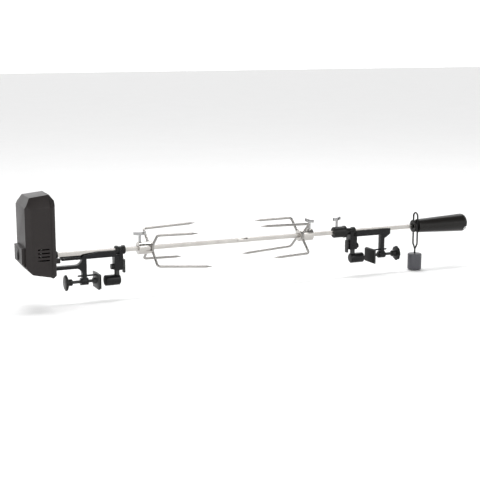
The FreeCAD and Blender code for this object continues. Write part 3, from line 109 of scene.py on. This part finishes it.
@dataclass(frozen=True)
class Finish:
    """One surface finish and the numbers that make it.

    Sizes are in metres. The colour and the drift are the two ends of a slow change of
    tone over the surface.
    """

    name: str
    colour: Triple
    drift: Triple
    grain: Grain
    grain_size: float
    grain_height: float
    rough_low: float
    rough_high: float
    metallic: float = 0.0
    specular: float = 0.5
    coat: float = 0.0
    coat_rough: float = 0.15
    anisotropic: float = 0.0
    drift_size: float = 0.03

    def material(self) -> bpy.types.Material:
        """Build the finish, or give it back if it was built before.

        Returns:
            The node-based material.
        """
        known = bpy.data.materials.get(self.name)
        if known is not None:
            return known
        made = bpy.data.materials.new(self.name)
        made.use_nodes = True
        tree = made.node_tree
        shader = tree.nodes["Principled BSDF"]
        shader.inputs["Metallic"].default_value = self.metallic
        shader.inputs["Specular IOR Level"].default_value = self.specular
        shader.inputs["Coat Weight"].default_value = self.coat
        shader.inputs["Coat Roughness"].default_value = self.coat_rough
        shader.inputs["Anisotropic"].default_value = self.anisotropic
        place = tree.nodes.new("ShaderNodeTexCoord")
        fine = self._noise(tree, place, STRETCH[self.grain], self.grain_size, FINE_DETAIL)
        slow = self._noise(tree, place, EVEN, self.drift_size, SLOW_DETAIL)
        blend = self._blend(tree, fine, slow)
        self._tone(tree, blend, shader)
        self._roughness(tree, blend, shader)
        self._relief(tree, fine, shader)
        return made

    def _noise(self, tree: bpy.types.NodeTree, place: bpy.types.Node, stretch: Triple,
               size: float, detail: float) -> bpy.types.Node:
        """Noise on object coordinates, drawn out along an axis.

        Args:
            tree: The material's node tree.
            place: Texture coordinate node.
            stretch: Scale of each axis.
            size: Size of one grain in metres.
            detail: Noise detail.

        Returns:
            The noise node.
        """
        mapping = tree.nodes.new("ShaderNodeMapping")
        mapping.inputs["Scale"].default_value = stretch
        tree.links.new(place.outputs["Object"], mapping.inputs["Vector"])
        noise = tree.nodes.new("ShaderNodeTexNoise")
        noise.inputs["Scale"].default_value = 1.0 / size
        noise.inputs["Detail"].default_value = detail
        tree.links.new(mapping.outputs["Vector"], noise.inputs["Vector"])
        return noise

    def _blend(self, tree: bpy.types.NodeTree, fine: bpy.types.Node,
               slow: bpy.types.Node) -> bpy.types.Node:
        """Add a share of the grain to a share of the drift.

        Args:
            tree: The material's node tree.
            fine: Noise of the grain.
            slow: Noise of the drift.

        Returns:
            The node that holds the sum.
        """
        slow_part = tree.nodes.new("ShaderNodeMath")
        slow_part.operation = "MULTIPLY"
        slow_part.inputs[1].default_value = SLOW_SHARE
        tree.links.new(slow.outputs["Fac"], slow_part.inputs[0])
        blend = tree.nodes.new("ShaderNodeMath")
        blend.operation = "MULTIPLY_ADD"
        blend.inputs[1].default_value = FINE_SHARE
        tree.links.new(fine.outputs["Fac"], blend.inputs[0])
        tree.links.new(slow_part.outputs[0], blend.inputs[2])
        return blend

    def _tone(self, tree: bpy.types.NodeTree, blend: bpy.types.Node,
              shader: bpy.types.Node) -> None:
        """Let the base colour drift with the blend.

        Args:
            tree: The material's node tree.
            blend: Node that holds the sum of grain and drift.
            shader: The Principled BSDF node.
        """
        tone = tree.nodes.new("ShaderNodeValToRGB")
        ends = zip(tone.color_ramp.elements, TONE_BAND, (self.colour, self.drift))
        for stop, position, colour in ends:
            stop.position, stop.color = position, (*colour, 1.0)
        tree.links.new(blend.outputs[0], tone.inputs["Fac"])
        tree.links.new(tone.outputs["Color"], shader.inputs["Base Color"])

    def _roughness(self, tree: bpy.types.NodeTree, blend: bpy.types.Node,
                   shader: bpy.types.Node) -> None:
        """Let the roughness drift with the blend.

        Args:
            tree: The material's node tree.
            blend: Node that holds the sum of grain and drift.
            shader: The Principled BSDF node.
        """
        rough = tree.nodes.new("ShaderNodeMapRange")
        rough.inputs["From Min"].default_value = ROUGH_BAND[0]
        rough.inputs["From Max"].default_value = ROUGH_BAND[1]
        rough.inputs["To Min"].default_value = self.rough_low
        rough.inputs["To Max"].default_value = self.rough_high
        tree.links.new(blend.outputs[0], rough.inputs["Value"])
        tree.links.new(rough.outputs["Result"], shader.inputs["Roughness"])

    def _relief(self, tree: bpy.types.NodeTree, fine: bpy.types.Node,
                shader: bpy.types.Node) -> None:
        """Raise the grain as a bump.

        Args:
            tree: The material's node tree.
            fine: Noise of the grain.
            shader: The Principled BSDF node.
        """
        relief = tree.nodes.new("ShaderNodeBump")
        relief.inputs["Strength"].default_value = 1.0
        relief.inputs["Distance"].default_value = self.grain_height
        tree.links.new(fine.outputs["Fac"], relief.inputs["Height"])
        tree.links.new(relief.outputs["Normal"], shader.inputs["Normal"])


CASE = Finish(
    "charcoal_abs", colour=(0.015, 0.0125, 0.012), drift=(0.020, 0.0165, 0.016),
    grain=Grain.SPARK, grain_size=0.0009, grain_height=0.00003, rough_low=0.34,
    rough_high=0.42, specular=0.20)
SWITCH = Finish(
    "switch_black", colour=(0.008, 0.008, 0.008), drift=(0.012, 0.012, 0.012),
    grain=Grain.SPARK, grain_size=0.0006, grain_height=0.00002, rough_low=0.30,
    rough_high=0.40, specular=0.2)
CASTING = Finish(
    "cast_black_enamel", colour=(0.005, 0.005, 0.0055), drift=(0.008, 0.008, 0.0085),
    grain=Grain.CAST, grain_size=0.0022, grain_height=0.00009, rough_low=0.22,
    rough_high=0.34, specular=0.13, coat=0.12, coat_rough=0.08)
BLACK_STEEL = Finish(
    "black_steel", colour=(0.005, 0.005, 0.0055), drift=(0.008, 0.008, 0.0085),
    grain=Grain.PLAIN, grain_size=0.0014, grain_height=0.00003, rough_low=0.22,
    rough_high=0.32, specular=0.13, coat=0.12, coat_rough=0.08)
WIRE_BLACK = Finish(
    "black_coated_wire", colour=(0.005, 0.005, 0.005), drift=(0.008, 0.008, 0.008),
    grain=Grain.PLAIN, grain_size=0.0015, grain_height=0.00002, rough_low=0.28,
    rough_high=0.36, specular=0.2)
GUNMETAL = Finish(
    "gunmetal", colour=(0.012, 0.0115, 0.0115), drift=(0.024, 0.023, 0.023),
    grain=Grain.TURNED, grain_size=0.0012, grain_height=0.00002, rough_low=0.16,
    rough_high=0.26, metallic=0.35, specular=0.22, anisotropic=0.4)
RUBBER = Finish(
    "black_rubber", colour=(0.007, 0.007, 0.007), drift=(0.011, 0.011, 0.011),
    grain=Grain.SPARK, grain_size=0.0010, grain_height=0.00006, rough_low=0.62,
    rough_high=0.75, specular=0.2)
KNOB = Finish(
    "knob_black", colour=(0.006, 0.006, 0.006), drift=(0.010, 0.010, 0.010),
    grain=Grain.SPARK, grain_size=0.0008, grain_height=0.00003, rough_low=0.26,
    rough_high=0.36, specular=0.14, coat=0.08, coat_rough=0.10)
BUSH = Finish(
    "bush_black", colour=(0.006, 0.006, 0.006), drift=(0.010, 0.010, 0.0095),
    grain=Grain.PLAIN, grain_size=0.0012, grain_height=0.00003, rough_low=0.24,
    rough_high=0.34, specular=0.14, coat=0.08, coat_rough=0.10)
GRIP = Finish(
    "grip_black", colour=(0.007, 0.0065, 0.006), drift=(0.011, 0.010, 0.009),
    grain=Grain.SPARK, grain_size=0.0008, grain_height=0.00003, rough_low=0.20,
    rough_high=0.28, specular=0.16, coat=0.10, coat_rough=0.08)
STAINLESS = Finish(
    "drawn_stainless", colour=(0.40, 0.385, 0.365), drift=(0.52, 0.50, 0.475),
    grain=Grain.DRAWN, grain_size=0.0006, grain_height=0.00001, rough_low=0.16,
    rough_high=0.30, metallic=1.0, anisotropic=0.3)
FORK_STEEL = Finish(
    "fork_steel", colour=(0.24, 0.232, 0.222), drift=(0.34, 0.33, 0.315),
    grain=Grain.DRAWN, grain_size=0.0006, grain_height=0.00001, rough_low=0.18,
    rough_high=0.30, metallic=1.0)
EYELET = Finish(
    "eyelet_steel", colour=(0.86, 0.86, 0.85), drift=(0.92, 0.92, 0.91),
    grain=Grain.PLAIN, grain_size=0.004, grain_height=0.00001, rough_low=0.40,
    rough_high=0.50, metallic=1.0)
CHROME = Finish(
    "bright_chrome", colour=(0.28, 0.28, 0.28), drift=(0.38, 0.38, 0.38),
    grain=Grain.PLAIN, grain_size=0.004, grain_height=0.00001, rough_low=0.06,
    rough_high=0.12, metallic=1.0)
NYLON = Finish(
    "black_nylon", colour=(0.012, 0.012, 0.012), drift=(0.018, 0.018, 0.018),
    grain=Grain.PLAIN, grain_size=0.0015, grain_height=0.00002, rough_low=0.38,
    rough_high=0.48)
BRASS = Finish(
    "brass", colour=(0.72, 0.50, 0.22), drift=(0.80, 0.58, 0.28),
    grain=Grain.PLAIN, grain_size=0.0012, grain_height=0.00001, rough_low=0.18,
    rough_high=0.28, metallic=1.0)
ZINC = Finish(
    "zinc_plate", colour=(0.52, 0.52, 0.50), drift=(0.62, 0.62, 0.60),
    grain=Grain.PLAIN, grain_size=0.0015, grain_height=0.00001, rough_low=0.25,
    rough_high=0.38, metallic=1.0)
CELL = Finish(
    "cell_sleeve", colour=(0.05, 0.07, 0.12), drift=(0.07, 0.09, 0.15),
    grain=Grain.PLAIN, grain_size=0.003, grain_height=0.00001, rough_low=0.22,
    rough_high=0.30)
FLOOR_WHITE = Finish(
    "studio_white", colour=(0.86, 0.86, 0.86), drift=(0.88, 0.88, 0.88),
    grain=Grain.PLAIN, grain_size=0.2, grain_height=0.0001, rough_low=0.8,
    rough_high=0.9)


# ------------------------------------------------------------------ meshes


@dataclass(frozen=True)
class Rounding:
    """How one band of edges is rounded.

    The band holds the edges whose faces turn by more than low_deg and less than
    high_deg and that are longer than shortest. Width and shortest are in metres.
    """

    width: float
    segments: int = 2
    low_deg: float = 28.0
    high_deg: float = 180.0
    shortest: float = 0.0


def to_object(name: str, mesh: bmesh.types.BMesh) -> bpy.types.Object:
    """Turn a finished bmesh into a smooth-shaded object at the origin.

    Args:
        name: The piece's name.
        mesh: The bmesh, which is freed.

    Returns:
        The new object.
    """
    limit = math.radians(SHARP_DEG)
    for face in mesh.faces:
        face.smooth = True
    for edge in mesh.edges:
        edge.smooth = len(edge.link_faces) == 2 and edge.calc_face_angle(0.0) < limit
    data = bpy.data.meshes.new(name)
    mesh.to_mesh(data)
    mesh.free()
    made = bpy.data.objects.new(name, data)
    bpy.context.scene.collection.objects.link(made)
    return made


def merged_copy(node: str) -> bmesh.types.BMesh:
    """A CAD node's mesh with its doubles merged and its flat faces made whole.

    Args:
        node: The CAD node's name.

    Returns:
        A new bmesh.
    """
    mesh = bmesh.new()
    mesh.from_mesh(frame["nodes"][node].data)
    bmesh.ops.remove_doubles(mesh, verts=mesh.verts, dist=MERGE_DISTANCE)
    bmesh.ops.dissolve_limit(mesh, angle_limit=math.radians(FLAT_DEG),
                             use_dissolve_boundaries=False, verts=mesh.verts,
                             edges=mesh.edges, delimit=set())
    return mesh


def round_edges(mesh: bmesh.types.BMesh, rounding: Rounding) -> None:
    """Bevel the edges that a rounding picks.

    Args:
        mesh: The mesh to change.
        rounding: Which edges, and how wide and how fine.
    """
    low, high = math.radians(rounding.low_deg), math.radians(rounding.high_deg)
    chosen = [e for e in mesh.edges
              if len(e.link_faces) == 2 and low < e.calc_face_angle(0.0) < high
              and e.calc_length() > rounding.shortest]
    bmesh.ops.bevel(mesh, geom=chosen, offset=rounding.width, offset_type="OFFSET",
                    affect="EDGES", segments=rounding.segments, profile=0.5, material=-1,
                    clamp_overlap=True, loop_slide=True)


@dataclass(frozen=True)
class Part:
    """One CAD node and how its visible piece is finished and, if at all, rounded."""

    node: str
    finish: Finish
    slot: str
    rounding: Rounding | None = None


def body_of(node: str) -> str:
    """Name of the body that carries a CAD node."""
    bodies = frame["record"]["behaviour"]["bodies"]
    return next(body for body, members in bodies.items() if node in members)


def settle(piece: bpy.types.Object, node: str, finish: Finish) -> None:
    """Dress a piece, let it ride on its node's body and stand for the node.

    Args:
        piece: The new piece.
        node: The CAD node it stands for.
        finish: Its finish.
    """
    piece.data.materials.clear()
    piece.data.materials.append(finish.material())
    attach(piece, body_of(node))
    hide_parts(node)
    LOG.info("%s stands for %s", piece.name, node)


class Assembly:
    """Common work of the sub-assemblies: round the CAD pieces and dress them."""

    def parts(self) -> list[Part]:
        """List the CAD nodes of this sub-assembly, one row for each."""
        return []

    def build(self) -> None:
        """Make or dress every piece."""
        for part in self.parts():
            if part.rounding is None:
                self.dressed(part)
            else:
                self.rounded(part, part.rounding)
        self.extras()

    def extras(self) -> None:
        """Make the pieces that a plain rounding of the CAD node doesn't give."""

    def rounded(self, part: Part, rounding: Rounding) -> None:
        """Put a copy with softened edges in a node's place.

        Args:
            part: The node and its finish.
            rounding: How its edges are softened.
        """
        mesh = merged_copy(part.node)
        round_edges(mesh, rounding)
        settle(to_object(part.node + "_piece", mesh), part.node, part.finish)

    def dressed(self, part: Part) -> None:
        """Give a CAD node its finish as it is.

        Args:
            part: The node and its finish.
        """
        node = frame["nodes"][part.node]
        node.data.materials.clear()
        node.data.materials.append(part.finish.material())
        LOG.info("%s dressed", part.node)


# ------------------------------------------------------------------ sub-assemblies


@dataclass
class MotorUnit(Assembly):
    """Battery gear motor: faceted two-shell case, door, switch and the works inside."""

    facets: Rounding = Rounding(2.6 * MM, segments=4, low_deg=14.0, high_deg=72.0,
                                shortest=12.0 * MM)
    details: Rounding = Rounding(0.45 * MM, low_deg=50.0, shortest=1.0 * MM)
    door_edge: Rounding = Rounding(0.4 * MM)
    rocker_edge: Rounding = Rounding(0.6 * MM)

    def parts(self) -> list[Part]:
        """List the works inside the case and its small outer pieces.

        Returns:
            One row for each node but the two shells.
        """
        return [
            Part("battery_door", CASE, "case_plastic", self.door_edge),
            Part("switch_rocker", SWITCH, "switch_plastic", self.rocker_edge),
            Part("switch_body", SWITCH, "switch_plastic"),
            Part("output_gear", BUSH, "bush_plastic"),
            Part("second_gear", NYLON, "gear_nylon"),
            Part("first_gear", NYLON, "gear_nylon"),
            Part("motor_pinion", BRASS, "brass"),
            Part("gear_axles", ZINC, "zinc_steel"),
            Part("gearbox_plate", ZINC, "zinc_steel"),
            Part("case_screws", ZINC, "zinc_steel"),
            Part("contact_strip", ZINC, "zinc_steel"),
            Part("drive_motor", ZINC, "zinc_steel"),
            Part("battery_cells", CELL, "cell_wrap"),
        ]

    def extras(self) -> None:
        """Make the two case shells, with rounded facets and crisp small edges."""
        for node in ("motor_cover", "motor_base"):
            mesh = merged_copy(node)
            round_edges(mesh, self.facets)
            round_edges(mesh, self.details)
            settle(to_object(node + "_shell", mesh), node, CASE)


@dataclass
class Bracket(Assembly):
    """Clamp bracket: casting, fixed jaw, moving plate, screw, knob and lock wing."""

    side: str
    cast_edge: Rounding = Rounding(0.9 * MM, segments=3)
    anvil_edge: Rounding = Rounding(0.5 * MM)
    cap_edge: Rounding = Rounding(0.3 * MM)
    plate_edge: Rounding = Rounding(0.6 * MM)
    pad_edge: Rounding = Rounding(0.6 * MM)
    rod_edge: Rounding = Rounding(0.3 * MM)
    knob_edge: Rounding = Rounding(0.7 * MM, segments=3)
    wing_edge: Rounding = Rounding(0.9 * MM, segments=3)

    def parts(self) -> list[Part]:
        """List all the bracket's nodes.

        Returns:
            One row for each node.
        """
        n = self.side + "_"
        return [
            Part(n + "bracket_frame", CASTING, "cast_black", self.cast_edge),
            Part(n + "jaw_rod", BLACK_STEEL, "black_steel", self.rod_edge),
            Part(n + "anvil", CASTING, "black_steel", self.anvil_edge),
            Part(n + "anvil_cap", RUBBER, "pad_rubber", self.cap_edge),
            Part(n + "clamp_plate", BLACK_STEEL, "black_steel", self.plate_edge),
            Part(n + "clamp_pad", RUBBER, "pad_rubber", self.pad_edge),
            Part(n + "guide_pin", BLACK_STEEL, "black_steel", self.rod_edge),
            Part(n + "clamp_screw", BLACK_STEEL, "black_steel"),
            Part(n + "clamp_knob", KNOB, "knob_plastic", self.knob_edge),
            Part(n + "lock_wing", BLACK_STEEL, "black_steel", self.wing_edge),
        ]


@dataclass
class Spit(Assembly):
    """Square bar in two sections with its joint, bushes, handle and ferrule."""

    bar_edge: Rounding = Rounding(0.5 * MM)
    stud_edge: Rounding = Rounding(0.4 * MM)
    left_bush_edge: Rounding = Rounding(0.5 * MM)
    right_bush_edge: Rounding = Rounding(0.6 * MM)
    screw_edge: Rounding = Rounding(0.8 * MM, segments=3)
    ferrule_edge: Rounding = Rounding(0.5 * MM)

    def parts(self) -> list[Part]:
        """List all the spit's own nodes.

        Returns:
            One row for each node.
        """
        return [
            Part("spit_front_section", STAINLESS, "stainless", self.bar_edge),
            Part("spit_rear_section", STAINLESS, "stainless", self.bar_edge),
            Part("spit_joint_stud", STAINLESS, "stainless", self.stud_edge),
            Part("left_bush", BUSH, "bush_plastic", self.left_bush_edge),
            Part("right_bush", BUSH, "bush_plastic", self.right_bush_edge),
            Part("bush_thumb_screw", CHROME, "chrome_plate", self.screw_edge),
            Part("handle_ferrule", GRIP, "grip_plastic", self.ferrule_edge),
            Part("handle_grip", GRIP, "grip_plastic"),
            Part("hang_eyelet", EYELET, "chrome_plate"),
        ]


@dataclass
class Fork(Assembly):
    """Four-prong fork with its collar and thumb screw."""

    side: str
    collar_edge: Rounding = Rounding(0.5 * MM)
    screw_edge: Rounding = Rounding(0.8 * MM, segments=3)

    def parts(self) -> list[Part]:
        """List all the fork's nodes.

        Returns:
            One row for each node.
        """
        n = self.side + "_fork_"
        return [
            Part(n + "collar", STAINLESS, "stainless", self.collar_edge),
            Part(n + "prongs", FORK_STEEL, "stainless"),
            Part(n + "screw", CHROME, "chrome_plate", self.screw_edge),
        ]


@dataclass
class BalanceWeight(Assembly):
    """Steel weight on a long wire loop that straddles the spit."""

    weight_edge: Rounding = Rounding(0.4 * MM)

    def parts(self) -> list[Part]:
        """List the weight and its loop.

        Returns:
            One row for each node.
        """
        return [
            Part("balance_wire", WIRE_BLACK, "balance_black"),
            Part("balance_weight", GUNMETAL, "gunmetal", self.weight_edge),
        ]


# ------------------------------------------------------------------ studio


@dataclass(frozen=True)
class SoftBox:
    """One rectangular soft light.

    The offset is where it stands from the target and the size is width by height, both
    in metres. The power is in watts.
    """

    name: str
    offset: Triple
    size: tuple[float, float]
    power: float

    def build(self, target: Vector) -> None:
        """Hang the light so that it faces the target.

        Args:
            target: The point it faces.
        """
        data = bpy.data.lights.new(self.name, "AREA")
        data.shape = "RECTANGLE"
        data.size, data.size_y = self.size
        data.energy = self.power
        offset = Vector(self.offset)
        lamp = bpy.data.objects.new(self.name, data)
        lamp.location = target + offset
        lamp.rotation_euler = (-offset).to_track_quat("-Z", "Y").to_euler()
        bpy.context.scene.collection.objects.link(lamp)


@dataclass
class Studio:
    """Pale floor, soft lights and the camera.

    The camera and the soft boxes face a point on the spit's axis, axis_height above the
    frame's origin and target_x along the spit from it.
    """

    axis_height: float
    target_x: float = 0.2826
    azimuth_deg: float = -23.7
    elevation_deg: float = 10.6
    distance: float = 2.219
    lens: float = 83.2
    sensor: float = 36.0
    clip_end: float = 60.0
    sweep: float = 12.0
    floor_cells: int = 8
    floor_gap: float = 0.002
    world_strength: float = 1.6
    horizon: float = 1.0
    zenith: float = 0.12
    fall_start: float = 0.22
    fall_end: float = 0.55
    key_box: SoftBox = SoftBox("key_box", (0.5, -2.2, 1.6), (1.8, 1.0), 22.0)
    left_box: SoftBox = SoftBox("left_box", (-2.2, -1.0, 0.8), (1.0, 1.4), 12.0)
    top_strip: SoftBox = SoftBox("top_strip", (0.0, 0.2, 2.2), (2.4, 0.3), 24.0)
    sun_strength: float = 1.9
    sun_spread_deg: float = 60.0
    sun_turn_deg: Triple = (-35.0, 8.0, 0.0)

    @property
    def target(self) -> Vector:
        """The point that the camera and the soft boxes face."""
        return Vector((self.target_x, 0.0, self.axis_height))

    def build(self) -> None:
        """Make the whole studio."""
        self._floor()
        self._world()
        for box in (self.key_box, self.left_box, self.top_strip):
            box.build(self.target)
        self._sun()
        self._camera()

    def _floor(self) -> None:
        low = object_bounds()[0]
        mesh = bmesh.new()
        bmesh.ops.create_grid(mesh, x_segments=self.floor_cells, y_segments=self.floor_cells,
                              size=self.sweep)
        bmesh.ops.translate(mesh, verts=mesh.verts, vec=(0.0, 0.0, low[2] - self.floor_gap))
        floor = to_object("studio_floor", mesh)
        floor.data.materials.append(FLOOR_WHITE.material())
        floor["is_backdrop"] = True

    def _world(self) -> None:
        """Fall from a white horizon to grey overhead, so that bright metal has contrast."""
        world = bpy.data.worlds.new("studio_world")
        world.use_nodes = True
        tree = world.node_tree
        background = tree.nodes["Background"]
        background.inputs["Strength"].default_value = self.world_strength
        place = tree.nodes.new("ShaderNodeTexCoord")
        axes = tree.nodes.new("ShaderNodeSeparateXYZ")
        ramp = tree.nodes.new("ShaderNodeValToRGB")
        stops = ramp.color_ramp.elements
        stops[0].position, stops[0].color = 0.0, (*[self.horizon] * 3, 1.0)
        stops[1].position, stops[1].color = 1.0, (*[self.zenith] * 3, 1.0)
        for position, level in ((self.fall_start, self.horizon), (self.fall_end, self.zenith)):
            stop = stops.new(position)
            stop.color = (*[level] * 3, 1.0)
        tree.links.new(place.outputs["Generated"], axes.inputs["Vector"])
        tree.links.new(axes.outputs["Z"], ramp.inputs["Fac"])
        tree.links.new(ramp.outputs["Color"], background.inputs["Color"])
        bpy.context.scene.world = world
        bpy.context.scene.view_settings.view_transform = "Standard"

    def _sun(self) -> None:
        """Hang a very soft sun that gives the floor its faint shadows."""
        data = bpy.data.lights.new("floor_sun", "SUN")
        data.energy = self.sun_strength
        data.angle = math.radians(self.sun_spread_deg)
        lamp = bpy.data.objects.new("floor_sun", data)
        lamp.rotation_euler = tuple(map(math.radians, self.sun_turn_deg))
        bpy.context.scene.collection.objects.link(lamp)

    def _camera(self) -> None:
        """Set the camera on its azimuth and elevation, looking at the target."""
        azimuth, elevation = math.radians(self.azimuth_deg), math.radians(self.elevation_deg)
        back = Vector((math.sin(azimuth) * math.cos(elevation),
                       -math.cos(azimuth) * math.cos(elevation), math.sin(elevation)))
        data = bpy.data.cameras.new("camera")
        data.lens = self.lens
        data.sensor_width = self.sensor
        data.clip_end = self.clip_end
        camera = bpy.data.objects.new("camera", data)
        camera.location = self.target + back * self.distance
        camera.rotation_euler = (-back).to_track_quat("-Z", "Y").to_euler()
        bpy.context.scene.collection.objects.link(camera)
        bpy.context.scene.camera = camera


def main() -> None:
    logging.basicConfig(level=logging.INFO, format="%(name)s: %(message)s")
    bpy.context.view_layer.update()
    spit_low, spit_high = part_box("spit_front_section")
    Studio(axis_height=(spit_low[2] + spit_high[2]) / 2).build()
    for assembly in (MotorUnit(), Bracket("left"), Bracket("right"), Spit(), Fork("left"),
                     Fork("right"), BalanceWeight()):
        assembly.build()


if __name__ == "__main__":
    main()
